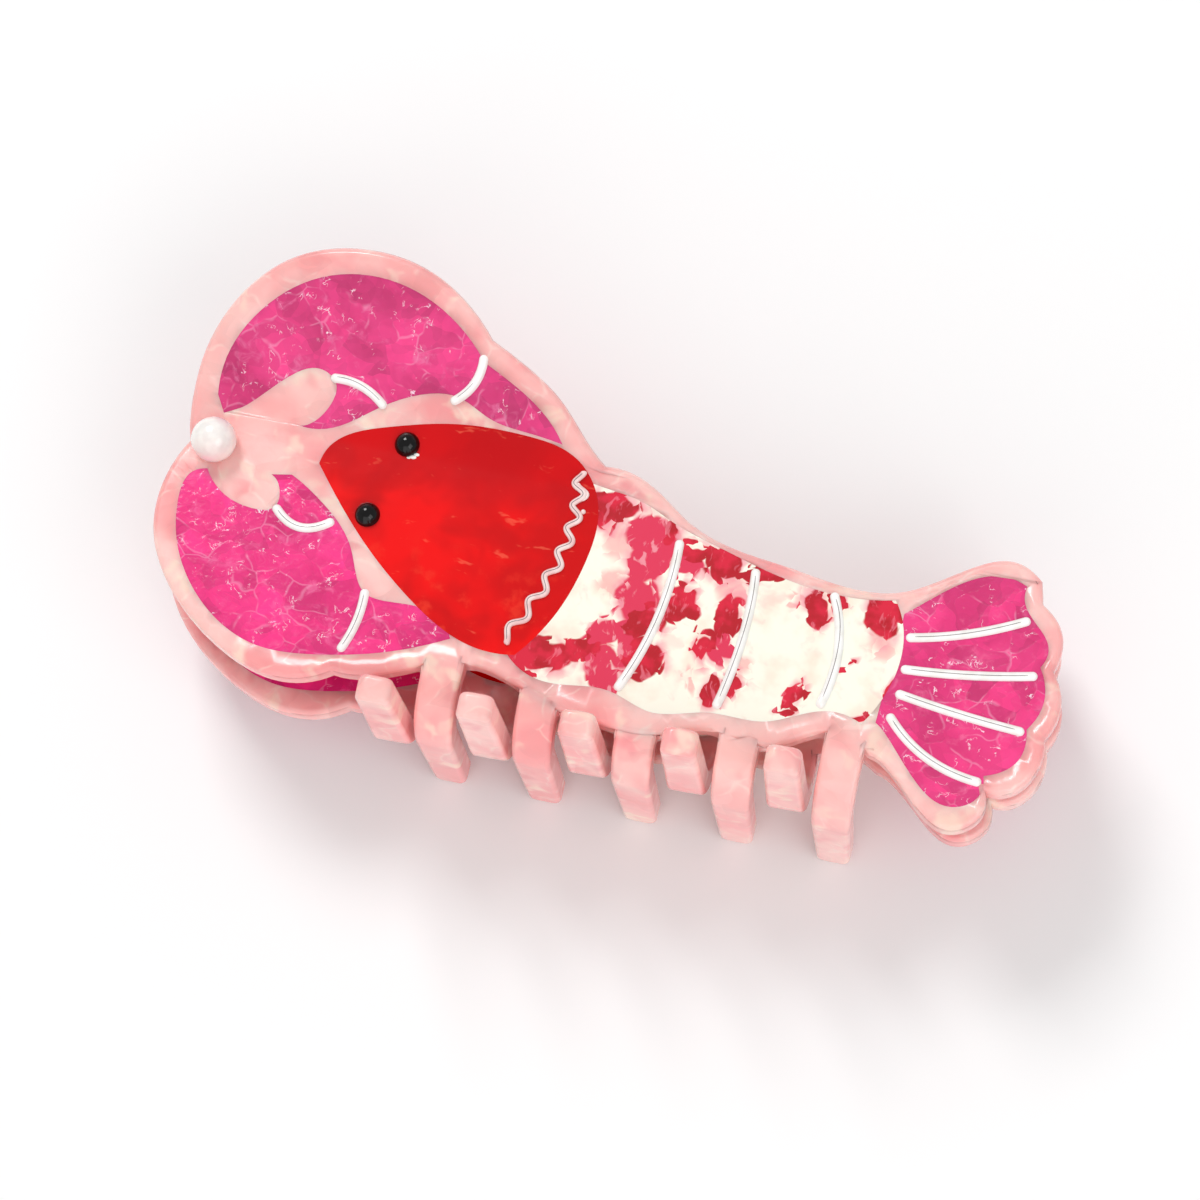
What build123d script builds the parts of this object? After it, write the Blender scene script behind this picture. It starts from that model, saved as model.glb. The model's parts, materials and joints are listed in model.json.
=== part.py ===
from build123d import *
import math
import os

# Lobster-shaped hair claw clip: two acetate jaws on a sprung hinge, in millimetres.
# Both jaws are drawn as a front jaw: X runs from claws to tail, Y towards the handle
# side and Z outwards, with Z = 0 in the middle of the sheet. They are then placed.

sheet_thickness = 3.4
jaw_spacing = 12.0
edge_round = 0.7

hinge_y = 2.5
hinge_x = -1.0

flare_start_y = 11.0
flare_radius = 12.0
flare_angle = 24.0

rear_skew = 2.0

tooth_count = 5
front_tooth_pitch = 12.9
rear_tooth_pitch = 12.8
front_first_tooth_x = -22.0
rear_first_tooth_x = -28.6
front_tooth_bend_y = -16.3
rear_tooth_bend_y = -15.5
tooth_root_width = 5.2
tooth_tip_width = 4.4
tooth_tip_round = 1.3
tooth_length = 24.0
tooth_bend_radius = 6.0

line_radius = 0.62
line_sink = 0.15
wave_width = 0.9
wave_relief = 0.35
wave_count = 7
wave_height = 0.65

eye_radius = 1.65
eye_sink = 0.2
pearl_radius = 2.95
pearl_sink = 1.0

pin_radius = 1.0
pin_clearance = 0.05
leaf_thickness = 0.7
leaf_half_width = 7.4
leaf_low = -8.0
leaf_high = 5.0
ear_radius = 2.4
outer_ear_x = 6.7
inner_ear_x = 5.7
wire_radius = 0.4
coil_radius = 1.85
coil_pitch = 0.95
coil_turns = 4
leg_length = 4.2
rivet_radius = 0.8
rivet_head_radius = 1.5
rivet_depth = 2.0
rivet_x = 4.5
rivet_y = -5.5
pin_head_radius = 1.6

half = sheet_thickness / 2
leaf_face = jaw_spacing / 2 - half - leaf_thickness


def surface_point(offset, run):
    """A point (y, z) on the layer at this offset; run is the length past the bend."""
    turn = math.radians(flare_angle)
    radius = flare_radius - offset
    y = flare_start_y + radius * math.sin(turn) + run * math.cos(turn)
    z = flare_radius - radius * math.cos(turn) + run * math.sin(turn)
    return (y, z)


def layer(low, high):
    """The part of space between two offsets from the middle of the flared sheet."""
    with BuildSketch(Plane.YZ) as profile:
        with BuildLine():
            for offset in (low, high):
                radius = flare_radius - offset
                bend_end = surface_point(offset, 0)
                Line((-50, offset), (flare_start_y, offset))
                RadiusArc((flare_start_y, offset), bend_end, -radius)
                Line(bend_end, surface_point(offset, 40))
            Line((-50, low), (-50, high))
            Line(surface_point(low, 40), surface_point(high, 40))
        make_face()
    return extrude(profile.sketch, 80, both=True)


def face_height(y):
    """The height of the outer face at this y."""
    turn = math.radians(flare_angle)
    radius = flare_radius - half
    bend_end = flare_start_y + radius * math.sin(turn)
    if y <= flare_start_y:
        return half
    if y <= bend_end:
        return flare_radius - math.sqrt((flare_radius - half) ** 2 - (y - flare_start_y) ** 2)
    lift = flare_radius - radius * math.cos(turn)
    return lift + (y - bend_end) * math.tan(turn)


def prism(*runs):
    """A tall block whose outline is a closed ring of smooth runs of points."""
    edges = []
    for run in runs:
        if len(run) == 2:
            edges.append(Line(*run))
        else:
            edges.append(Spline(*run))
    face = make_face(edges)
    return extrude(face, 30, both=True)


# The outline, clockwise from the notch between the two claws.
upper_claw_edge = [
    (-61.8, 7.6), (-63.0, 13.5), (-62.3, 19.5), (-59.2, 26.0), (-52.8, 31.8),
    (-44.6, 34.2), (-35.5, 33.4), (-28.6, 29.8), (-25.2, 26.6),
]
handle_edge = [(-25.2, 26.6), (-20.4, 24.4), (-15.0, 21.1), (-10.4, 16.6), (-7.9, 14.6)]
back_edge = [
    (-7.9, 14.6), (-4.6, 14.5), (-0.4, 12.9), (4.4, 9.8), (11.2, 7.5), (18.0, 6.6),
    (25.0, 5.6), (32.1, 6.2), (38.4, 9.9), (44.6, 12.9), (49.4, 11.2),
]
fan_1 = [(49.4, 11.2), (50.1, 8.3)]
fan_2 = [(50.1, 8.3), (53.3, 4.6), (53.0, 0.0)]
fan_3 = [(53.0, 0.0), (54.8, -4.2), (53.6, -8.8)]
fan_4 = [(53.6, -8.8), (53.4, -13.2), (50.6, -16.6), (47.9, -17.0)]
fan_5 = [(47.9, -17.0), (47.2, -21.2), (44.4, -22.7), (38.6, -19.4), (32.8, -15.2)]
belly_edge = [
    (32.8, -15.2), (26.0, -14.0), (20.0, -17.0), (13.0, -16.4), (6.0, -18.5), (-1.0, -18.5),
    (-7.5, -17.6), (-14.0, -15.2), (-20.4, -14.4), (-27.0, -16.8), (-35.8, -18.7),
]
lower_claw_edge = [
    (-35.8, -18.7), (-43.0, -20.9), (-51.6, -18.1), (-59.3, -12.0),
    (-63.5, -4.5), (-63.8, 1.6), (-61.8, 7.6),
]
outline = [
    upper_claw_edge, handle_edge, back_edge, fan_1, fan_2, fan_3, fan_4, fan_5,
    belly_edge, lower_claw_edge,
]

# Coloured acetate let into the sheet right through its thickness.
upper_claw_shape = [
    [
        (-59.6, 14.2), (-58.8, 20.2), (-55.6, 25.2), (-50.0, 29.5),
        (-42.0, 31.4), (-35.4, 30.4), (-29.2, 27.2), (-25.6, 23.9),
    ],
    [(-25.6, 23.9), (-21.0, 21.8), (-17.0, 19.4), (-13.8, 16.2)],
    [
        (-13.8, 16.2), (-19.0, 16.8), (-23.6, 17.5), (-28.2, 19.3), (-33.0, 18.8),
        (-39.0, 15.8), (-43.6, 12.9), (-48.1, 12.3),
    ],
    [(-48.1, 12.3), (-44.7, 15.4), (-44.4, 18.2), (-46.2, 19.4), (-50.8, 17.8), (-56.4, 13.0)],
    [(-56.4, 13.0), (-58.3, 12.0)],
    [(-58.3, 12.0), (-59.6, 14.2)],
]
lower_claw_shape = [
    [
        (-58.4, 4.2), (-60.4, 3.2), (-61.0, -1.2), (-58.8, -8.0), (-53.4, -14.2),
        (-46.2, -17.5), (-38.4, -17.2), (-29.2, -14.9), (-21.9, -11.6),
    ],
    [(-21.9, -11.6), (-28.0, -8.3), (-34.2, -7.9), (-37.2, -2.8), (-42.8, 2.9), (-47.4, 5.6)],
    [(-47.4, 5.6), (-50.0, 5.1)],
    [(-50.0, 5.1), (-48.4, 3.2), (-48.4, 1.0), (-52.0, 0.2), (-56.2, 1.8), (-58.4, 4.2)],
]
carapace_shape = [
    [
        (-44.3, 7.8), (-43.2, 10.9), (-36.5, 14.3), (-27.6, 16.2), (-18.6, 16.4),
        (-11.2, 14.6), (-7.5, 9.2), (-7.4, 2.2), (-9.8, -6.2), (-13.4, -12.0),
    ],
    [(-13.4, -12.0), (-20.0, -11.8), (-28.2, -7.6), (-36.0, -1.3), (-41.6, 4.6), (-44.3, 7.8)],
]
body_shape = [
    [
        (-11.0, 12.6), (-5.6, 11.8), (-2.0, 11.1), (2.4, 9.2), (8.0, 7.4),
        (16.0, 5.2), (24.0, 4.1), (32.0, 4.9),
    ],
    [(32.0, 4.9), (33.9, 0.6), (33.7, -5.8), (31.1, -11.7)],
    [
        (31.1, -11.7), (25.4, -11.3), (19.4, -13.9), (12.0, -14.3), (5.0, -15.7),
        (-0.6, -14.1), (-7.4, -14.6), (-15.0, -11.4),
    ],
    [(-15.0, -11.4), (-11.0, 12.6)],
]
tail_shape = [
    [(33.4, 3.4), (38.6, 8.0), (44.2, 10.7), (47.7, 10.0)],
    [(47.7, 10.0), (48.6, 6.6), (51.4, 3.6), (51.3, 0.0)],
    [(51.3, 0.0), (52.6, -4.4), (51.2, -8.2)],
    [(51.2, -8.2), (51.0, -12.2), (47.2, -15.1)],
    [(47.2, -15.1), (46.2, -18.9), (44.0, -19.8), (38.8, -17.2), (32.8, -11.2)],
    [(32.8, -11.2), (33.4, 3.4)],
]

# Raised white enamel strokes: start, bow and end.
claw_strokes = [
    [(-44.6, 18.8), (-41.2, 18.5), (-37.9, 16.8)],
    [(-25.8, 24.3), (-26.3, 21.6), (-28.6, 18.9)],
    [(-48.1, 0.7), (-44.6, -1.1), (-40.9, 0.3)],
    [(-34.1, -8.0), (-34.2, -11.9), (-35.2, -15.6)],
]
body_strokes = [
    [(3.7, 6.6), (3.2, -3.6), (0.4, -13.3)],
    [(14.0, 4.8), (14.3, -2.6), (13.0, -13.0)],
    [(24.4, 3.8), (26.2, -2.0), (25.6, -10.2)],
]
tail_strokes = [
    [(34.8, 0.5), (41.6, 2.4), (48.4, 5.5)],
    [(35.0, -3.7), (43.0, -2.8), (50.6, -1.3)],
    [(35.0, -7.0), (42.6, -8.0), (50.4, -8.6)],
    [(34.5, -10.2), (39.7, -14.2), (46.5, -16.0)],
]
wave_start = (-11.0, 13.4)
wave_pull = (-8.1, 3.4)
wave_end = (-15.4, -10.6)
eye_places = [(-33.7, 12.6), (-36.4, 2.3)]
pearl_place = (-58.1, 7.6)


def tooth(x, bend_y):
    """One tooth: a strip that leaves the sheet, bends inwards and ends rounded."""
    outer = tooth_bend_radius + half
    inner = tooth_bend_radius - half
    low_outer = bend_y - outer
    low_inner = bend_y - inner
    with BuildSketch(Plane.YZ) as profile:
        with BuildLine():
            Line((-12, half), (bend_y, half))
            RadiusArc((bend_y, half), (low_outer, -tooth_bend_radius), -outer)
            Line((low_outer, -tooth_bend_radius), (low_outer, -tooth_length))
            Line((low_outer, -tooth_length), (low_inner, -tooth_length))
            Line((low_inner, -tooth_length), (low_inner, -tooth_bend_radius))
            RadiusArc((low_inner, -tooth_bend_radius), (bend_y, -half), inner)
            Line((bend_y, -half), (-12, -half))
            Line((-12, -half), (-12, half))
        make_face()
    strip = extrude(profile.sketch, tooth_root_width, both=True)
    root = tooth_root_width / 2
    tip = tooth_tip_width / 2
    with BuildSketch(Plane.XZ) as plan:
        with BuildLine():
            Line((-root, half), (root, half))
            Line((root, half), (tip, -tooth_length))
            Line((tip, -tooth_length), (-tip, -tooth_length))
            Line((-tip, -tooth_length), (-root, half))
        make_face()
        fillet(plan.vertices().group_by(Axis.Y)[0], tooth_tip_round)
    strip = strip & extrude(plan.sketch, 60, both=True)
    long_edges = strip.edges().filter_by(lambda e: e.center().Y < bend_y + 0.5)
    rounded = fillet(long_edges, edge_round)
    return Pos(x, 0, 0) * rounded


def bead(points, radius, sink):
    """A half-round raised stroke along points on the outer face."""
    path_points = []
    for x, y in points:
        path_points.append((x, y, face_height(y) - sink))
    path = Spline(*path_points)
    start = Plane(origin=path @ 0, z_dir=path % 0)
    stroke = sweep(start * Circle(radius), path=path)
    for end in (path @ 0, path @ 1):
        stroke = stroke + Pos(*end) * Sphere(radius)
    return stroke - under_face


def one_body(shape):
    """The largest solid of a shape, so that no sliver is left over."""
    return max(shape.solids(), key=lambda s: s.volume)


sheet = layer(-half, half)
under_face = layer(-30, half)

inlays = {
    "upper_claw_inlay": prism(*upper_claw_shape),
    "lower_claw_inlay": prism(*lower_claw_shape),
    "carapace_inlay": prism(*carapace_shape),
    "body_inlay": prism(*body_shape),
    "tail_inlay": prism(*tail_shape),
}
for name in ("upper_claw_inlay", "lower_claw_inlay", "body_inlay"):
    inlays[name] = inlays[name] - inlays["carapace_inlay"]
inlays["tail_inlay"] = inlays["tail_inlay"] - inlays["body_inlay"]


def jaw(first_tooth_x, tooth_pitch, bend_y):
    """All the acetate, enamel and bead pieces of one jaw, drawn as a front jaw."""
    pieces = {}
    plate = one_body(prism(*outline) & sheet)
    for k in range(tooth_count):
        plate = plate + tooth(first_tooth_x + k * tooth_pitch, bend_y)
    for block in inlays.values():
        plate = plate - block
    pieces["plate"] = one_body(plate)
    for name, block in inlays.items():
        pieces[name] = one_body(block & sheet)
    strokes = {"claw_line": claw_strokes, "body_line": body_strokes, "tail_line": tail_strokes}
    for name, group in strokes.items():
        for number, points in enumerate(group, 1):
            pieces[f"{name}_{number}"] = one_body(bead(points, line_radius, line_sink))
    upper = wave_edge(-wave_width / 2)
    lower = wave_edge(wave_width / 2)
    ribbon = prism(upper, [upper[-1], lower[-1]], lower[::-1], [lower[0], upper[0]])
    pieces["wave_line"] = one_body(ribbon & layer(half, half + wave_relief))
    for number, (x, y) in enumerate(eye_places, 1):
        dome = Pos(x, y, face_height(y) - eye_sink) * Sphere(eye_radius)
        pieces[f"eye_{number}"] = one_body(dome - under_face)
    pearl_x, pearl_y = pearl_place
    ball = Pos(pearl_x, pearl_y, half + pearl_radius - pearl_sink) * Sphere(pearl_radius)
    pieces["pearl"] = one_body(ball)
    pieces["plate"] = pieces["plate"] - ball
    return pieces


def wave_edge(shift):
    """Crests and troughs of one edge of the wavy stroke, this far to its side."""
    start_x, start_y = wave_start
    pull_x, pull_y = wave_pull
    end_x, end_y = wave_end
    points = []
    steps = 2 * wave_count
    for k in range(steps + 1):
        t = k / steps
        x = (1 - t) ** 2 * start_x + 2 * t * (1 - t) * pull_x + t ** 2 * end_x
        y = (1 - t) ** 2 * start_y + 2 * t * (1 - t) * pull_y + t ** 2 * end_y
        along_x = (1 - t) * (pull_x - start_x) + t * (end_x - pull_x)
        along_y = (1 - t) * (pull_y - start_y) + t * (end_y - pull_y)
        length = math.hypot(along_x, along_y)
        side = (shift + wave_height * (-1) ** k) / length
        points.append((x - along_y * side, y + along_x * side))
    return points


def hinge_leaf(ear_x, hole_radius):
    """A stamped leaf for the front jaw with two ears, its axis along X through the origin."""
    middle_y = (leaf_low + leaf_high) / 2
    base = Box(2 * leaf_half_width, leaf_high - leaf_low, leaf_thickness)
    base = fillet(base.edges().filter_by(Axis.Z), 1.5)
    leaf = Pos(0, middle_y, leaf_face + leaf_thickness / 2) * base
    ear = Pos(0, 0, leaf_face / 2) * Box(leaf_thickness, 2 * ear_radius, leaf_face)
    ear = ear + Rot(0, 90, 0) * Cylinder(ear_radius, leaf_thickness)
    for side in (-1, 1):
        leaf = leaf + Pos(side * ear_x, 0, 0) * ear
    leaf = leaf - Rot(0, 90, 0) * Cylinder(hole_radius, 4 * leaf_half_width)
    for side in (-1, 1):
        leaf = leaf - Pos(side * rivet_x, rivet_y, leaf_face) * Cylinder(rivet_radius, 10)
    return leaf


def rivets():
    """The two rivets that hold a front leaf: heads inside, shanks in the acetate."""
    top = jaw_spacing / 2 - half + rivet_depth
    shank = Cylinder(rivet_radius, top - leaf_face, align=(Align.CENTER, Align.CENTER, Align.MIN))
    head = Sphere(rivet_head_radius) & Pos(0, 0, -5) * Box(10, 10, 10)
    head = scale(head, (1, 1, 0.5))
    pair = []
    for side in (-1, 1):
        pair.append(Pos(side * rivet_x, rivet_y, leaf_face) * (shank + head))
    return pair


def hinge_pin():
    """A plain pin with two upset heads."""
    inside = outer_ear_x + leaf_thickness / 2
    pin = Rot(0, 90, 0) * Cylinder(pin_radius, 2 * inside + 1.2)
    for side in (-1, 1):
        head = Rot(0, 90, 0) * Cylinder(pin_head_radius, 0.6)
        pin = pin + Pos(side * (inside + 0.3), 0, 0) * head
    return pin


def torsion_spring():
    """Coils round the pin with a straight leg on each leaf above the pin."""
    turns = coil_turns + 0.5
    width = turns * coil_pitch
    frame = Plane(origin=(-width / 2, 0, 0), x_dir=(0, 0, 1), z_dir=(1, 0, 0))
    coil_path = frame * Helix(coil_pitch, width, coil_radius)
    start = coil_path @ 0
    end = coil_path @ 1
    section = Plane(origin=start, z_dir=coil_path % 0) * Circle(wire_radius)
    spring = sweep(section, path=coil_path, is_frenet=True)
    rest = leaf_face - wire_radius - 0.02
    for point, height in ((start, rest), (end, -rest)):
        leg = Line(point, (point.X, leg_length, height))
        leg_section = Plane(origin=point, z_dir=leg % 0) * Circle(wire_radius)
        spring = spring + sweep(leg_section, path=leg)
        spring = spring + Pos(*point) * Sphere(wire_radius)
    return spring


os.makedirs("parts", exist_ok=True)
at_hinge = Pos(hinge_x, hinge_y, 0)
clip = {}

front_rivets = [at_hinge * rivet for rivet in rivets()]
rear_rivets = [at_hinge * mirror(rivet, Plane.XY) for rivet in rivets()]

for name, piece in jaw(front_first_tooth_x, front_tooth_pitch, front_tooth_bend_y).items():
    placed = Pos(0, 0, jaw_spacing / 2) * piece
    if name in ("plate", "body_inlay"):
        for rivet in front_rivets:
            placed = placed - rivet
    clip[f"front_{name}"] = placed

turned = at_hinge * Rot(0, 0, rear_skew) * Pos(-hinge_x, -hinge_y, 0)
for name, piece in jaw(rear_first_tooth_x, rear_tooth_pitch, rear_tooth_bend_y).items():
    placed = turned * Pos(0, 0, -jaw_spacing / 2) * mirror(piece, Plane.XY)
    if name in ("plate", "body_inlay"):
        for rivet in rear_rivets:
            placed = placed - rivet
    clip[f"rear_{name}"] = placed

clip["front_hinge_leaf"] = at_hinge * hinge_leaf(inner_ear_x, pin_radius + pin_clearance)
clip["rear_hinge_leaf"] = at_hinge * mirror(hinge_leaf(outer_ear_x, pin_radius), Plane.XY)
clip["front_hinge_rivets"] = Compound(front_rivets)
clip["rear_hinge_rivets"] = Compound(rear_rivets)
clip["hinge_pin"] = at_hinge * hinge_pin()
clip["torsion_spring"] = at_hinge * torsion_spring()

whole = Compound(list(clip.values())).bounding_box()
base = Pos(-(whole.min.X + whole.max.X) / 2, -(whole.min.Y + whole.max.Y) / 2, -whole.min.Z)
print("size", whole.size, "hinge", base * at_hinge)
for name, shape in clip.items():
    export_step(base * shape, f"parts/{name}.step")
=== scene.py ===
import json
import math

import bmesh
import bpy
from mathutils import Matrix, Vector
from mathutils.bvhtree import BVHTree
from mathutils.kdtree import KDTree


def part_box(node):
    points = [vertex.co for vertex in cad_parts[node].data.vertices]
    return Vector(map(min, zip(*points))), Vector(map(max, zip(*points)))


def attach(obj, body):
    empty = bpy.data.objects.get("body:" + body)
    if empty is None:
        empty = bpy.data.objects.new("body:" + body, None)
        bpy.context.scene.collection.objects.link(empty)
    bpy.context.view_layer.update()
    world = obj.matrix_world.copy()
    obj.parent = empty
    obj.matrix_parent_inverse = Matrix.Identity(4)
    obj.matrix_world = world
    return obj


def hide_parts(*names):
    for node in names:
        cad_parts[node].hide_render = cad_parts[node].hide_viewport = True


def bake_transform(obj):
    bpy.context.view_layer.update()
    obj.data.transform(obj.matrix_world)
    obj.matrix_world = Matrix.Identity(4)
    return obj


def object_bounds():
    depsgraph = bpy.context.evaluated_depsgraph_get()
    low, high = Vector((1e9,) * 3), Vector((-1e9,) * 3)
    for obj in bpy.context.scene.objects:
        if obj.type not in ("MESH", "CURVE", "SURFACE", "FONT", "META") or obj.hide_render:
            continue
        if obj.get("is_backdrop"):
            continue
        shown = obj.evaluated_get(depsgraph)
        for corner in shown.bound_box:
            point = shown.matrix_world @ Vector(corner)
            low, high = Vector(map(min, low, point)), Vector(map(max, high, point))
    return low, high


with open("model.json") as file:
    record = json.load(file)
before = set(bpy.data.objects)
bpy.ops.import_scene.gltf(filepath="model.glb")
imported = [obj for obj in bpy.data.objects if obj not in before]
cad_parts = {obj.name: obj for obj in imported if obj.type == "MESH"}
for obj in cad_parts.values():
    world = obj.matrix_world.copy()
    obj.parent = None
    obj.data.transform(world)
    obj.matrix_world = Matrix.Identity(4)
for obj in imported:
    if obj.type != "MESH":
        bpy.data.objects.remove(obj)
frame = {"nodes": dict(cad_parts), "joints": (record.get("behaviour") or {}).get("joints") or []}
nodes = frame["nodes"]
MM = 0.001
hinge = Vector(frame["joints"][0]["pos_m"])
low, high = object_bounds()

# Drawing coordinates, in millimetres, have the hinge at this point.
HINGE_DRAWN = Vector((-1.0, 2.5, 0.0))

# The rounding of the sheet's rim, in metres.
RIM_ROUND = 0.0008
INLAY_REACH = 0.00008
WELD = 2e-6

# How upright a face's normal is on a cap, at least, and on a wall, at most.
CAP_UPRIGHT = 0.8
WALL_UPRIGHT = 0.5
ARC_STEPS = 3
THIN_WALL_SHARE = 0.2
SHARPEST_MITRE = 0.45


def place(x, y, z):
    """A point of the drawing, in millimetres, in the row frame."""
    return hinge + (Vector((x, y, z)) - HINGE_DRAWN) * MM


# ---------------------------------------------------------------- shader helpers


class Shader:
    """A material with short calls for the nodes it needs."""

    def __init__(self, name):
        self.mat = bpy.data.materials.new(name)
        self.mat.use_nodes = True
        self.tree = self.mat.node_tree
        self.tree.nodes.clear()
        self.out = self.tree.nodes.new("ShaderNodeOutputMaterial")
        self.bsdf = self.tree.nodes.new("ShaderNodeBsdfPrincipled")
        self.tree.links.new(self.bsdf.outputs[0], self.out.inputs[0])
        coords = self.tree.nodes.new("ShaderNodeTexCoord")
        to_mm = self.tree.nodes.new("ShaderNodeVectorMath")
        to_mm.operation = "MULTIPLY_ADD"
        self.tree.links.new(coords.outputs["Object"], to_mm.inputs[0])
        to_mm.inputs[1].default_value = (1000, 1000, 1000)
        shift = HINGE_DRAWN - hinge / MM
        to_mm.inputs[2].default_value = shift
        self.mm = to_mm.outputs[0]

    def feed(self, socket, value):
        """Links an output to a socket, or sets the socket to a constant."""
        if isinstance(value, bpy.types.NodeSocket):
            self.tree.links.new(value, socket)
        elif isinstance(value, tuple) and len(value) == 3 and socket.type == "RGBA":
            socket.default_value = (*value, 1)
        else:
            socket.default_value = value

    def math(self, operation, a, b=0.0, c=0.0, clamp=False):
        node = self.tree.nodes.new("ShaderNodeMath")
        node.operation = operation
        node.use_clamp = clamp
        self.feed(node.inputs[0], a)
        self.feed(node.inputs[1], b)
        self.feed(node.inputs[2], c)
        return node.outputs[0]

    def vector(self, operation, a, b=(0, 0, 0), c=(0, 0, 0)):
        node = self.tree.nodes.new("ShaderNodeVectorMath")
        node.operation = operation
        self.feed(node.inputs[0], a)
        self.feed(node.inputs[1], b)
        self.feed(node.inputs[2], c)
        return node.outputs["Value"] if operation in ("LENGTH", "DOT_PRODUCT") else node.outputs[0]

    def noise(self, scale, detail=2.0, rough=0.5, at=None, distortion=0.0, color=False):
        node = self.tree.nodes.new("ShaderNodeTexNoise")
        self.feed(node.inputs["Vector"], at or self.mm)
        self.feed(node.inputs["Scale"], scale)
        self.feed(node.inputs["Detail"], detail)
        self.feed(node.inputs["Roughness"], rough)
        self.feed(node.inputs["Distortion"], distortion)
        return node.outputs["Color" if color else "Fac"]

    def cells(self, scale, feature="F1", at=None, output="Distance", randomness=1.0):
        node = self.tree.nodes.new("ShaderNodeTexVoronoi")
        node.feature = feature
        self.feed(node.inputs["Vector"], at or self.mm)
        self.feed(node.inputs["Scale"], scale)
        self.feed(node.inputs["Randomness"], randomness)
        return node.outputs[output]

    def ramp(self, value, low_in, high_in, low_out=0.0, high_out=1.0):
        node = self.tree.nodes.new("ShaderNodeMapRange")
        node.interpolation_type = "SMOOTHSTEP"
        self.feed(node.inputs["Value"], value)
        self.feed(node.inputs["From Min"], low_in)
        self.feed(node.inputs["From Max"], high_in)
        self.feed(node.inputs["To Min"], low_out)
        self.feed(node.inputs["To Max"], high_out)
        return node.outputs[0]

    def mix(self, factor, a, b, blend="MIX"):
        node = self.tree.nodes.new("ShaderNodeMix")
        node.data_type = "RGBA"
        node.blend_type = blend
        self.feed(node.inputs[0], factor)
        self.feed(node.inputs[6], a)
        self.feed(node.inputs[7], b)
        return node.outputs[2]

    def channels(self, color):
        node = self.tree.nodes.new("ShaderNodeSeparateColor")
        self.feed(node.inputs[0], color)
        return node.outputs[0], node.outputs[1], node.outputs[2]

    def warped(self, scale, amount):
        """The coordinates pushed about by noise, this far in millimetres."""
        push = self.vector("SUBTRACT", self.noise(scale, 2.0, color=True), (0.5, 0.5, 0.5))
        return self.vector("MULTIPLY_ADD", push, (amount, amount, amount), self.mm)

    def set(self, **values):
        for name, value in values.items():
            self.feed(self.bsdf.inputs[name.replace("_", " ")], value)
        return self.mat

    def bump(self, height, strength, distance):
        node = self.tree.nodes.new("ShaderNodeBump")
        self.feed(node.inputs["Height"], height)
        self.feed(node.inputs["Strength"], strength)
        self.feed(node.inputs["Distance"], distance)
        self.feed(self.bsdf.inputs["Normal"], node.outputs[0])


def srgb(r, g, b):
    """A display colour out of 255 as linear numbers."""
    out = []
    for value in (r, g, b):
        value = value / 255
        out.append(value / 12.92 if value <= 0.04045 else ((value + 0.055) / 1.055) ** 2.4)
    return tuple(out)


# ---------------------------------------------------------------- materials


def shards(s, size, seed=0.0):
    """Overlapping pearl shards: (brightness about 1, thin bright creases from 0 to 1)."""
    at = s.vector("MULTIPLY", s.warped(0.16, 5.0), (1.0, 1.35, 0.6))
    at = s.vector("ADD", at, (seed, seed * 1.7, 0))
    tone = s.channels(s.cells(1 / size, at=at, output="Color"))[1]
    fine_tone = s.channels(s.cells(2.4 / size, at=at, output="Color"))[1]
    edge = s.cells(1 / size, feature="DISTANCE_TO_EDGE", at=at)
    crease = s.ramp(edge, 0.05, 0.0)
    crease = s.math("MULTIPLY", crease, s.ramp(s.noise(0.3), 0.48, 0.62))
    brightness = s.math("MULTIPLY_ADD", tone, 0.34, 0.76)
    brightness = s.math("MULTIPLY_ADD", fine_tone, 0.16, brightness)
    return brightness, crease


def pearl_pink():
    s = Shader("pearl_pink_acetate")
    cloud = s.noise(0.075, 3.0, at=s.warped(0.1, 9.0))
    color = s.mix(s.ramp(cloud, 0.35, 0.65), srgb(245, 160, 160), srgb(252, 198, 192))
    cream = s.ramp(s.noise(0.19, 2.0, at=s.warped(0.2, 6.0)), 0.56, 0.72)
    color = s.mix(s.math("MULTIPLY", cream, 0.75), color, srgb(253, 222, 204))
    rose = s.ramp(s.noise(0.14, 2.0, at=s.warped(0.12, 7.0)), 0.60, 0.78)
    color = s.mix(s.math("MULTIPLY", rose, 0.5), color, srgb(228, 118, 128))
    brightness, crease = shards(s, 7.0)
    soft = s.math("MULTIPLY_ADD", brightness, 0.35, 0.66)
    color = s.mix(1.0, color, soft_gray(s, soft), "MULTIPLY")
    color = s.mix(s.math("MULTIPLY", crease, 0.3), color, srgb(255, 236, 224))
    s.bump(s.noise(0.5, 2.0), 0.12, 0.0004)
    return s.set(
        Base_Color=color, Roughness=0.22, Subsurface_Weight=0.35, Subsurface_Radius=(1.0, 0.45, 0.4),
        Subsurface_Scale=0.0022, Coat_Weight=0.2, Coat_Roughness=0.08,
    )


def soft_gray(s, value):
    """A gray colour of this brightness."""
    node = s.tree.nodes.new("ShaderNodeCombineColor")
    for k in range(3):
        s.feed(node.inputs[k], value)
    return node.outputs[0]


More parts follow.
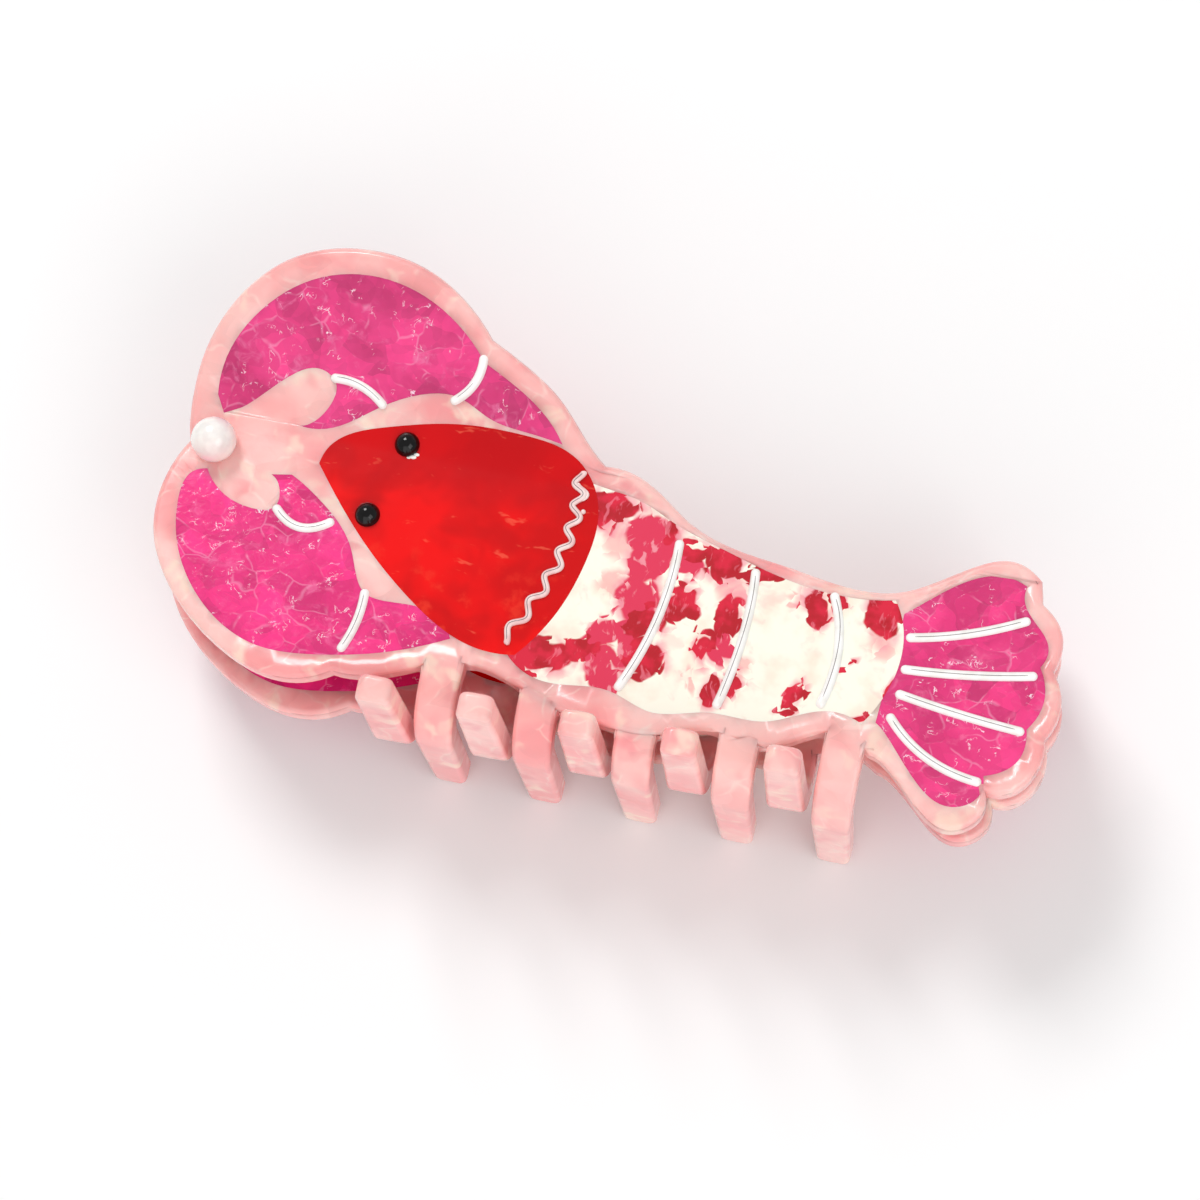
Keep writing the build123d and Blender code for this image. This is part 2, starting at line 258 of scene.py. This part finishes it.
def magenta(name, base, dark, light, seed):
    s = Shader(name)
    brightness, crease = shards(s, 4.2, seed)
    cloud = s.noise(0.14, 3.0, at=s.warped(0.2, 6.0))
    color = s.mix(s.ramp(cloud, 0.36, 0.66), dark, base)
    color = s.mix(1.0, color, soft_gray(s, brightness), "MULTIPLY")
    veil = s.ramp(s.noise(0.32, 4.0, 0.6, at=s.warped(0.25, 8.0)), 0.54, 0.74)
    color = s.mix(s.math("MULTIPLY", veil, 0.55), color, light)
    color = s.mix(s.math("MULTIPLY", crease, 0.28), color, srgb(255, 190, 220))
    fold = s.noise(0.55, 3.0, 0.55, at=s.warped(0.5, 3.0))
    ridge = s.math("ABSOLUTE", s.math("SUBTRACT", fold, 0.5))
    patchy = s.ramp(s.noise(0.5, 2.0, at=s.warped(0.2, 4.0)), 0.56, 0.66)
    glint = s.math("MULTIPLY", s.ramp(ridge, 0.02, 0.0), patchy)
    color = s.mix(glint, color, srgb(255, 226, 238))
    s.bump(s.math("ADD", s.noise(0.45, 3.0, at=s.warped(0.3, 4.0)), brightness), 0.25, 0.0005)
    return s.set(
        Base_Color=color, Roughness=0.15, Subsurface_Weight=0.2, Subsurface_Radius=(1.0, 0.3, 0.6),
        Subsurface_Scale=0.0015, Coat_Weight=0.5, Coat_Roughness=0.05,
    )


def carapace_red():
    s = Shader("red_acetate")
    y = separate(s, s.mm)[1]
    band = s.ramp(s.noise(0.09, 3.0, at=s.warped(0.07, 10.0)), 0.40, 0.62)
    color = s.mix(band, srgb(206, 0, 4), srgb(240, 2, 4))
    # Painted shade: the red darkens towards the carapace's top edge.
    edge = s.math("ADD", y, s.math("MULTIPLY", s.noise(0.1, 2.0), 10.0))
    color = s.mix(s.ramp(edge, 10.0, 15.0, 0.0, 0.65), color, srgb(190, 0, 12))
    # Painted light: warm orange-red patches towards the bottom, for light coming through the red sheet.
    low = s.math("MULTIPLY", s.ramp(y, 3.0, -8.0), s.ramp(s.noise(0.3, 4.0, 0.6), 0.52, 0.68))
    color = s.mix(s.math("MULTIPLY", low, 0.55), color, srgb(242, 62, 40))
    streak_at = s.vector("MULTIPLY", s.warped(0.3, 2.0), (0.5, 1.6, 1.0))
    streak = s.ramp(s.noise(0.4, 3.0, 0.6, at=streak_at), 0.63, 0.72)
    color = s.mix(s.math("MULTIPLY", streak, 0.35), color, srgb(255, 120, 90))
    s.bump(s.noise(0.3, 2.0), 0.1, 0.0004)
    return s.set(
        Base_Color=color, Roughness=0.16, Subsurface_Weight=0.1, Subsurface_Radius=(1.0, 0.15, 0.1),
        Subsurface_Scale=0.001, Coat_Weight=0.12, Coat_Roughness=0.05,
        Specular_IOR_Level=0.25,
    )


def separate(s, vector):
    node = s.tree.nodes.new("ShaderNodeSeparateXYZ")
    s.feed(node.inputs[0], vector)
    return node.outputs[0], node.outputs[1], node.outputs[2]


# Patches in the cream body: middle x, y, half sizes and turn, in drawing millimetres.
# A script printed these rows from places read off a picture. None of them was set by hand.
CRIMSON = [
    (-5.7, 10.2, 3, 1.9, 2), (-6.5, 8, 1.5, 1.9, 12), (2.2, 8.6, 0.9, 1.8, 12), (5.7, 5.9, 2, 1.2, 12),
    (10, 5.5, 2.3, 2.5, 12), (14.5, 4.3, 2.5, 0.8, 7), (5.4, -1.2, 2.3, 2.1, 12),
    (1.3, -4.7, 3, 1.8, 32), (-5.6, -9.6, 2, 1.6, 12), (-10.6, -11.6, 4.3, 2, 12),
    (2.8, -8.9, 2.2, 2.3, 12), (11.7, -1.8, 1.4, 3.1, -18), (9.7, -6, 1, 2, 12),
    (22.7, 2.1, 1.7, 2.1, 12), (25.4, 3.2, 0.5, 1, 12), (31.1, 2.7, 2.1, 2.7, 12),
    (28.3, -4.7, 1.3, 0.4, 40), (34, -7.2, 0.6, 2.3, -3), (31.9, -10.8, 2.3, 0.4, 24),
    (12.1, -11.8, 1.3, 1.9, 12), (14.3, -10.2, 0.9, 1.3, 12), (22.4, -9.8, 0.8, 1.9, -23),
    (20.9, -12.4, 1.1, 0.5, 32),
]
ROSE = [
    (0.4, 6.9, 3.1, 3, 12), (-0.1, 3.4, 2.3, 2.3, 12), (5.5, 3.9, 1.9, 1.4, 12),
    (-0, -1.6, 2.3, 2.8, 12), (-2.3, -6.6, 4.4, 1.4, 40), (0.3, -8.1, 1.7, 2.7, 12),
    (-2.3, -12.1, 1.8, 2.9, 12), (11.6, -5.2, 1.1, 2.1, 32),
]
BLUSH = [
    (-4.1, 5.6, 1.8, 2.3, 12), (-3.4, -0.4, 2, 1.6, 12), (11.9, 2, 1.9, 1.6, 12),
    (19.8, 2.4, 1.6, 0.4, -13), (31.8, -0.9, 1.9, 1.9, 12), (8.8, -10.8, 0.4, 1.6, 12),
    (14.6, -7.6, 1.3, 1.6, 12),
]


def patches(s, at, blobs):
    """Nearness to the closest patch: 0 at its middle and 1 on its edge."""
    nearest = 9.0
    for x, y, half_x, half_y, turn in blobs:
        mapping = s.tree.nodes.new("ShaderNodeMapping")
        mapping.vector_type = "TEXTURE"
        s.feed(mapping.inputs["Vector"], at)
        mapping.inputs["Location"].default_value = (x, y, 0)
        mapping.inputs["Rotation"].default_value = (0, 0, math.radians(turn))
        mapping.inputs["Scale"].default_value = (half_x, half_y, 10000)
        nearest = s.math("MINIMUM", nearest, s.vector("LENGTH", mapping.outputs[0]))
    return nearest


def marbled():
    s = Shader("marbled_acetate")
    chips = s.cells(0.55, at=s.warped(0.6, 1.4), output="Color")
    shift = s.vector("SUBTRACT", chips, (0.5, 0.5, 0.5))
    at = s.vector("MULTIPLY_ADD", shift, (1.5, 1.5, 0.0), s.warped(0.35, 1.6))
    cream = s.mix(s.ramp(s.noise(0.2, 3.0), 0.45, 0.7), srgb(255, 253, 236), srgb(250, 234, 216))
    wisp = s.ramp(s.noise(0.28, 3.0, at=s.warped(0.3, 4.0)), 0.56, 0.7)
    color = s.mix(s.math("MULTIPLY", wisp, 0.4), cream, srgb(248, 196, 190))
    blush = s.ramp(patches(s, at, BLUSH), 1.35, 0.55)
    color = s.mix(s.math("MULTIPLY", blush, 0.7), color, srgb(246, 170, 168))
    rose_near = patches(s, at, ROSE)
    crimson_near = patches(s, at, CRIMSON)
    halo = s.ramp(s.math("MINIMUM", rose_near, crimson_near), 1.8, 1.05)
    halo = s.math("MULTIPLY", halo, s.ramp(s.noise(0.3, 2.0), 0.4, 0.58))
    color = s.mix(s.math("MULTIPLY", halo, 0.8), color, srgb(246, 150, 165))
    fold = s.vector("MULTIPLY", s.warped(0.25, 4.0), (1.9, 0.6, 1.0))
    streak = s.ramp(s.noise(0.5, 3.0, 0.6, at=fold), 0.56, 0.66)
    rose = s.mix(s.math("MULTIPLY", streak, 0.65), srgb(226, 52, 88), srgb(250, 176, 186))
    color = s.mix(s.ramp(rose_near, 1.22, 1.02), color, rose)
    crimson = s.mix(s.ramp(s.noise(0.35, 3.0), 0.4, 0.62), srgb(186, 8, 32), srgb(222, 26, 60))
    crimson = s.mix(s.math("MULTIPLY", streak, 0.55), crimson, srgb(246, 130, 150))
    color = s.mix(s.ramp(crimson_near, 1.16, 1.03), color, crimson)
    s.bump(s.noise(0.4, 2.0), 0.1, 0.0004)
    return s.set(
        Base_Color=color, Roughness=0.16, Subsurface_Weight=0.12, Subsurface_Radius=(1.0, 0.6, 0.5),
        Subsurface_Scale=0.001, Coat_Weight=0.35, Coat_Roughness=0.06,
    )


def enamel(name, color, shade):
    s = Shader(name)
    tone = s.mix(s.ramp(s.noise(0.6, 2.0), 0.4, 0.7), color, shade)
    s.bump(s.noise(1.2, 2.0), 0.15, 0.0002)
    return s.set(Base_Color=tone, Roughness=0.22, Coat_Weight=0.3, Coat_Roughness=0.1)


def black_gloss():
    s = Shader("black_gloss")
    tone = s.mix(s.ramp(s.noise(1.5, 2.0), 0.4, 0.7), srgb(3, 3, 3), srgb(9, 8, 9))
    s.bump(s.noise(2.0, 2.0), 0.1, 0.0002)
    return s.set(Base_Color=tone, Roughness=0.05, Specular_IOR_Level=0.35)


def pearl_bead():
    s = Shader("pearl_bead")
    y = separate(s, s.mm)[1]
    tone = s.mix(s.ramp(s.noise(0.7, 2.0), 0.4, 0.65), srgb(250, 247, 242), srgb(243, 238, 234))
    # Painted sheen: a pink tint over the lower side of the bead.
    painted_pink_sheen = s.math("MULTIPLY", s.ramp(y, 8.0, 4.5), 0.45)
    tone = s.mix(painted_pink_sheen, tone, srgb(236, 196, 190))
    return s.set(
        Base_Color=tone, Roughness=0.2, Subsurface_Weight=0.3, Subsurface_Radius=(1.0, 0.9, 0.8),
        Subsurface_Scale=0.001, Coat_Weight=0.8, Coat_Roughness=0.08,
        Thin_Film_Thickness=420.0, Thin_Film_IOR=1.5,
    )


def steel(name, color, rough):
    s = Shader(name)
    grain_at = s.vector("MULTIPLY", s.mm, (0.4, 3.0, 3.0))
    grain = s.noise(2.0, 3.0, at=grain_at)
    tone = s.mix(s.ramp(grain, 0.3, 0.7), color, tuple(0.7 * c for c in color))
    s.bump(grain, 0.2, 0.0001)
    return s.set(Base_Color=tone, Metallic=1.0, Roughness=s.ramp(grain, 0.3, 0.7, rough, rough + 0.12))


PINK = pearl_pink()
MATERIALS = {
    "plate": PINK,
    # The upper claw's magenta copy is darker and paler than the lower claw's: painted shade and whitish
    # sheen for its tilt to the light.
    "upper_claw_inlay": magenta(
        "magenta_acetate_upper", srgb(230, 62, 132), srgb(210, 48, 116), srgb(238, 130, 176), 0.0),
    "lower_claw_inlay": magenta(
        "magenta_acetate_lower", srgb(242, 50, 134), srgb(228, 40, 122), srgb(248, 116, 170), 11.0),
    "tail_inlay": magenta(
        "magenta_acetate_tail", srgb(234, 58, 130), srgb(220, 46, 118), srgb(244, 116, 162), 23.0),
    "carapace_inlay": carapace_red(),
    "body_inlay": marbled(),
    "wave_line": enamel("pink_white_enamel", srgb(248, 226, 222), srgb(240, 200, 198)),
    "pearl": pearl_bead(),
    "hinge_leaf": steel("nickel_leaf", srgb(214, 211, 205), 0.24),
    "hinge_rivets": steel("nickel_rivet", srgb(222, 220, 214), 0.2),
    "hinge_pin": steel("pin_steel", srgb(200, 200, 202), 0.18),
    "torsion_spring": steel("spring_steel", srgb(188, 190, 194), 0.22),
}
WHITE = enamel("white_enamel", srgb(255, 255, 253), srgb(247, 246, 240))
BLACK = black_gloss()
# Gray for the thin lines of painted shade along the crests of the white strokes.
CREST_SHADE_GRAY = enamel("groove_gray", srgb(150, 140, 142), srgb(120, 112, 116))


def material_of(node):
    part = node.replace("front_", "").replace("rear_", "")
    if part in MATERIALS:
        return MATERIALS[part]
    return BLACK if part.startswith("eye") else WHITE


def paint(obj, material):
    obj.data.materials.clear()
    obj.data.materials.append(material)


def smooth(obj, angle=35):
    """Smooth shading, with the edges sharper than this angle, in degrees, kept crisp."""
    obj.data.shade_smooth()
    obj.data.set_sharp_from_angle(angle=math.radians(angle))
    weighted = obj.modifiers.new("weighted", "WEIGHTED_NORMAL")
    weighted.keep_sharp = True


def neighbour_trees(side):
    """Search trees of the pieces let into one jaw's sheet."""
    trees = []
    for name, node in nodes.items():
        if name.startswith(side) and ("inlay" in name or "pearl" in name or "hinge" in name):
            mesh = bmesh.new()
            mesh.from_mesh(node.data)
            trees.append(BVHTree.FromBMesh(mesh))
            mesh.free()
    return trees


def mitre(normals):
    """The outward step that shifts every one of these faces by one unit."""
    total = Vector((0, 0, 0))
    for normal in normals:
        total += normal
    total.normalize()
    return total / max(SHARPEST_MITRE, min(total.dot(normal) for normal in normals))


def slenderness(face):
    """How wide a triangle is for its longest side."""
    longest = max(edge.calc_length() for edge in face.edges)
    return 2 * face.calc_area() / longest ** 2


def round_rim(shape, trees, radius):
    """Rounds the outer rim of a sheet mesh: caps step in, walls step down, arcs fill the gap."""
    caps = {}
    walls = {}
    rim = []
    for edge in shape.edges:
        if len(edge.link_faces) != 2:
            continue
        cap, wall = sorted(edge.link_faces, key=lambda f: -abs(f.normal.z))
        if abs(cap.normal.z) < CAP_UPRIGHT or abs(wall.normal.z) > WALL_UPRIGHT:
            continue
        middle = (edge.verts[0].co + edge.verts[1].co) / 2
        if any(tree.find_nearest(middle)[3] < INLAY_REACH for tree in trees):
            continue
        rim.append(edge)
        for vert in edge.verts:
            key = tuple(vert.co)
            caps.setdefault(key, []).append(cap.normal * cap.calc_area())
            walls.setdefault(key, []).append((slenderness(wall), wall.normal.copy()))
    arcs = {}
    facing = {}
    for key in caps:
        corner = Vector(key)
        up = sum(caps[key], Vector()).normalized()
        best = max(width for width, normal in walls[key])
        out = mitre([normal for width, normal in walls[key] if width > THIN_WALL_SHARE * best])
        reach = radius if len(caps[key]) > 1 else 0.0
        ring = []
        for step in range(ARC_STEPS + 1):
            turn = math.radians(90 * step / ARC_STEPS)
            ring.append(corner - (out * (1 - math.sin(turn)) + up * (1 - math.cos(turn))) * reach)
        arcs[key] = ring
        facing[key] = out + up
    ends = [(tuple(e.verts[0].co), tuple(e.verts[1].co)) for e in rim]
    bmesh.ops.split_edges(shape, edges=rim)
    areas = {v: [(face, face.calc_area()) for face in v.link_faces] for v in shape.verts}
    rim_tree = KDTree(len(arcs))
    rim_keys = list(arcs)
    for number, key in enumerate(rim_keys):
        rim_tree.insert(key, number)
    rim_tree.balance()
    for vert in shape.verts:
        ring = arcs.get(tuple(vert.co))
        if not ring and all(abs(face.normal.z) < WALL_UPRIGHT for face in vert.link_faces):
            corner, number, distance = rim_tree.find(vert.co)
            if distance < 1.5 * radius and abs(vert.co.z - corner.z) < radius:
                vert.co.z = arcs[rim_keys[number]][ARC_STEPS].z
        if ring:
            level = sum(abs(face.normal.z) * area for face, area in areas[vert])
            total = sum(area for face, area in areas[vert])
            vert.co = ring[0] if level > 0.6 * total else ring[ARC_STEPS]
    for first, second in ends:
        for step in range(ARC_STEPS):
            corners = (
                arcs[first][step], arcs[second][step],
                arcs[second][step + 1], arcs[first][step + 1])
            patch = shape.faces.new([shape.verts.new(corner) for corner in corners])
            patch.normal_update()
            if patch.normal.dot(facing[first] + facing[second]) < 0:
                patch.normal_flip()
    bmesh.ops.remove_doubles(shape, verts=shape.verts, dist=WELD)


def rounded_plate(side):
    """The jaw's sheet with its outer rim rounded, in place of the CAD sheet."""
    source = nodes[f"{side}_plate"]
    shape = bmesh.new()
    shape.from_mesh(source.data)
    bmesh.ops.remove_doubles(shape, verts=shape.verts, dist=WELD)
    round_rim(shape, neighbour_trees(side), RIM_ROUND)
    mesh = bpy.data.meshes.new(f"{side}_sheet")
    shape.to_mesh(mesh)
    shape.free()
    sheet = bpy.data.objects.new(f"{side}_sheet", mesh)
    bpy.context.scene.collection.objects.link(sheet)
    paint(sheet, MATERIALS["plate"])
    smooth(sheet)
    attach(sheet, f"{side}_jaw")
    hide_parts(source.name)


# ---------------------------------------------------------------- details on the faces

HALF_SHEET = 1.7
HALF_SPACING = 6
FLARE_Y = 11.0
FLARE_RADIUS = 12.0
FLARE = math.radians(24)
REAR_SKEW = math.radians(2)


def on_face(side, x, y, lift):
    """The row-frame place this far above the outer face of a jaw, at a drawing x and y."""
    radius = FLARE_RADIUS - HALF_SHEET
    bend_end = FLARE_Y + radius * math.sin(FLARE)
    height = HALF_SHEET
    if y > bend_end:
        height = FLARE_RADIUS - radius * math.cos(FLARE) + (y - bend_end) * math.tan(FLARE)
    elif y > FLARE_Y:
        height = FLARE_RADIUS - math.sqrt(radius ** 2 - (y - FLARE_Y) ** 2)
    point = Vector((x, y, HALF_SPACING + height + lift))
    if side == "rear":
        arm = point - HINGE_DRAWN
        turned = Matrix.Rotation(REAR_SKEW, 3, "Z") @ arm
        point = HINGE_DRAWN + Vector((turned.x, turned.y, -turned.z))
    return place(*point)


def tube(shape, points, radius, flatten=1.0, around=10):
    """Adds a round strand along row-frame points; radius in millimetres."""
    rings = []
    for k, point in enumerate(points):
        along = (points[min(k + 1, len(points) - 1)] - points[max(k - 1, 0)]).normalized()
        side = along.cross(Vector((0, 0, 1))).normalized()
        up = side.cross(along)
        size = radius * MM * (0.55 if k in (0, len(points) - 1) else 1.0)
        ring = []
        for n in range(around):
            turn = 2 * math.pi * n / around
            step = side * math.cos(turn) + up * math.sin(turn) * flatten
            ring.append(shape.verts.new(point + step * size))
        rings.append(ring)
    for first, second in zip(rings, rings[1:]):
        for n in range(around):
            shape.faces.new((first[n], second[n], second[n - 1], first[n - 1]))
    shape.faces.new(rings[0])
    shape.faces.new(rings[-1][::-1])


def finish_piece(shape, name, material, body):
    """Turns a mesh into a shown piece that moves with a body."""
    bmesh.ops.recalc_face_normals(shape, faces=shape.faces)
    mesh = bpy.data.meshes.new(name)
    shape.to_mesh(mesh)
    shape.free()
    piece = bpy.data.objects.new(name, mesh)
    bpy.context.scene.collection.objects.link(piece)
    paint(piece, material)
    smooth(piece, 50)
    if body:
        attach(piece, body)
    return piece


WAVE_START = (-11.0, 13.4)
WAVE_PULL = (-8.1, 3.4)
WAVE_END = (-15.4, -10.6)
WAVE_COUNT = 7
WAVE_HEIGHT = 0.65


def wave_point(side, t, aside, lift):
    """A place on the wavy stroke, t from 0 to 1 along it."""
    curve = []
    slope = []
    for start, pull, end in zip(WAVE_START, WAVE_PULL, WAVE_END):
        curve.append((1 - t) ** 2 * start + 2 * t * (1 - t) * pull + t ** 2 * end)
        slope.append((1 - t) * (pull - start) + t * (end - pull))
    swing = aside + WAVE_HEIGHT * math.cos(2 * math.pi * WAVE_COUNT * t)
    swing /= math.hypot(*slope)
    return on_face(side, curve[0] - slope[1] * swing, curve[1] + slope[0] * swing, lift)


def wave_strand(side):
    """The piped wavy stroke: a rounded strand with a doubled start and one stray drop."""
    shape = bmesh.new()
    steps = 24 * WAVE_COUNT
    points = [wave_point(side, k / steps, 0.0, 0.12) for k in range(steps + 1)]
    tube(shape, points, 0.42, flatten=0.85)
    second = [wave_point(side, 0.07 + 0.11 * k / 20, 0.5, 0.1) for k in range(21)]
    tube(shape, second, 0.2, flatten=0.9)
    drop = Matrix.Translation(on_face(side, -9.3, 8.3, 0.05))
    bmesh.ops.create_uvsphere(shape, u_segments=14, v_segments=8, radius=0.34 * MM, matrix=drop)
    strand = finish_piece(
        shape, f"{side}_wave_strand", MATERIALS["wave_line"], f"{side}_jaw")
    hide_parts(f"{side}_wave_line")
    # A thin gray line of painted shade along the strand's crest.
    shade_mesh = bmesh.new()
    points = [wave_point(side, k / steps, -0.08, CREST_SHADE_LIFT) for k in range(3, steps - 2)]
    tube(shade_mesh, points, 0.055, around=6)
    finish_piece(shade_mesh, f"{side}_wave_crest_shade", CREST_SHADE_GRAY, f"{side}_jaw")


# Above the face, in millimetres, for the lines of painted shade: just over the crest of a stroke.
CREST_SHADE_LIFT = 0.46

STROKES = [
    ((-44.6, 18.8), (-41.2, 18.5), (-37.9, 16.8)), ((-25.8, 24.3), (-26.3, 21.6), (-28.6, 18.9)),
    ((-48.1, 0.7), (-44.6, -1.1), (-40.9, 0.3)), ((-34.1, -8.0), (-34.2, -11.9), (-35.2, -15.6)),
    ((3.7, 6.6), (3.2, -3.6), (0.4, -13.3)), ((14.0, 4.8), (14.3, -2.6), (13.0, -13.0)),
    ((24.4, 3.8), (26.2, -2.0), (25.6, -10.2)), ((34.8, 0.5), (41.6, 2.4), (48.4, 5.5)),
    ((35.0, -3.7), (43.0, -2.8), (50.6, -1.3)), ((35.0, -7.0), (42.6, -8.0), (50.4, -8.6)),
    ((34.5, -10.2), (39.7, -14.2), (46.5, -16.0)),
]


def stroke_crest_shades(side):
    """The fine dark line of painted shade along the crest of every white stroke."""
    shape = bmesh.new()
    for start, middle, end in STROKES:
        points = []
        for k in range(25):
            t = 0.04 + 0.92 * k / 24
            x, y = [
                a * (1 - t) * (1 - 2 * t) + b * 4 * t * (1 - t) + c * t * (2 * t - 1)
                for a, b, c in zip(start, middle, end)
            ]
            points.append(on_face(side, x, y, CREST_SHADE_LIFT))
        tube(shape, points, 0.05, around=6)
    finish_piece(shape, f"{side}_stroke_crest_shades", CREST_SHADE_GRAY, f"{side}_jaw")


def enamel_chip():
    """The small stray chip of white enamel below the first eye."""
    shape = bmesh.new()
    for x, y, radius in ((-32.6, 11.1, 0.42), (-32.2, 11.5, 0.34), (-33.1, 10.9, 0.24)):
        spot = Matrix.Translation(on_face("front", x, y, 0.0)) @ Matrix.Diagonal((1.2, 0.7, 0.5, 1))
        bmesh.ops.create_uvsphere(shape, u_segments=12, v_segments=8, radius=radius * MM, matrix=spot)
    finish_piece(shape, "enamel_chip", WHITE, "front_jaw")


def springy_wire():
    """The torsion spring as one piece of its own, attached to neither jaw."""
    shape = bmesh.new()
    shape.from_mesh(nodes["torsion_spring"].data)
    bmesh.ops.remove_doubles(shape, verts=shape.verts, dist=WELD)
    wire = finish_piece(shape, "spring_wire", MATERIALS["torsion_spring"], None)
    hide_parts("torsion_spring")
    lowest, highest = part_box("torsion_spring")
    legs = {}
    for end, x in (("low", lowest.x), ("high", highest.x)):
        near = [v.co.z for v in wire.data.vertices if abs(v.co.x - x) < 0.0006 and v.co.y > hinge.y + 0.003]
        legs[end] = sum(near) / len(near)
    if legs["low"] > hinge.z:
        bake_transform(wire)
    else:
        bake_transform(wire)


for name, node in nodes.items():
    paint(node, material_of(name))
    smooth(node)
for side in ("front", "rear"):
    rounded_plate(side)
    wave_strand(side)
    stroke_crest_shades(side)
enamel_chip()
springy_wire()

# ---------------------------------------------------------------- floor, light and camera


def plane_material(name, color):
    mat = bpy.data.materials.new(name)
    mat.use_nodes = True
    shader = mat.node_tree.nodes["Principled BSDF"]
    shader.inputs["Base Color"].default_value = (*color, 1)
    shader.inputs["Roughness"].default_value = 0.9
    shader.inputs["Specular IOR Level"].default_value = 0.1
    return mat


floor_mesh = bpy.data.meshes.new("floor")
reach = 3.0
floor_mesh.from_pydata(
    [(-reach, -reach, 0), (reach, -reach, 0), (reach, reach, 0), (-reach, reach, 0)], [], [(0, 1, 2, 3)])
floor = bpy.data.objects.new("floor", floor_mesh)
floor.location.z = low[2] - 0.0003
bpy.context.scene.collection.objects.link(floor)
floor_mesh.materials.append(plane_material("pale_floor", (0.93, 0.93, 0.93)))
floor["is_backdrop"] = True


def soft_light(name, where, size, power):
    """A square area light over this drawing place, facing the clip."""
    data = bpy.data.lights.new(name, "AREA")
    data.size = size
    data.energy = power
    lamp = bpy.data.objects.new(name, data)
    lamp.location = place(*where)
    toward = hinge - lamp.location
    lamp.rotation_euler = toward.to_track_quat("-Z", "Y").to_euler()
    bpy.context.scene.collection.objects.link(lamp)
    lamp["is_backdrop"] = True


soft_light("key", (-330, 420, 620), 0.28, 3.1)
soft_light("fill", (520, -300, 560), 0.5, 1.4)
soft_light("front", (120, -640, 300), 0.9, 2.4)

world = bpy.data.worlds.new("studio")
world.use_nodes = True
world.node_tree.nodes["Background"].inputs[0].default_value = (1, 1, 1, 1)
world.node_tree.nodes["Background"].inputs[1].default_value = 0.5
bpy.context.scene.world = world
bpy.context.scene.view_settings.view_transform = "Standard"

# The place and axes come from fitting a camera, at an assumed distance of 450 mm.
CAMERA_PLACE = (60.2, -124.6, 428.2)
CAMERA_AXES = (
    (0.96966, 0.23014, -0.08245),
    (-0.19596, 0.93337, 0.30072),
    (0.14617, -0.27543, 0.95014),
)
camera_data = bpy.data.cameras.new("camera")
camera_data.sensor_width = 36
camera_data.lens = 105.07
camera_data.clip_start = 0.01
camera = bpy.data.objects.new("camera", camera_data)
turn = Matrix(CAMERA_AXES).transposed().to_4x4()
camera.matrix_world = Matrix.Translation(place(*CAMERA_PLACE)) @ turn
bpy.context.scene.collection.objects.link(camera)
bpy.context.scene.camera = camera

low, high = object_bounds()
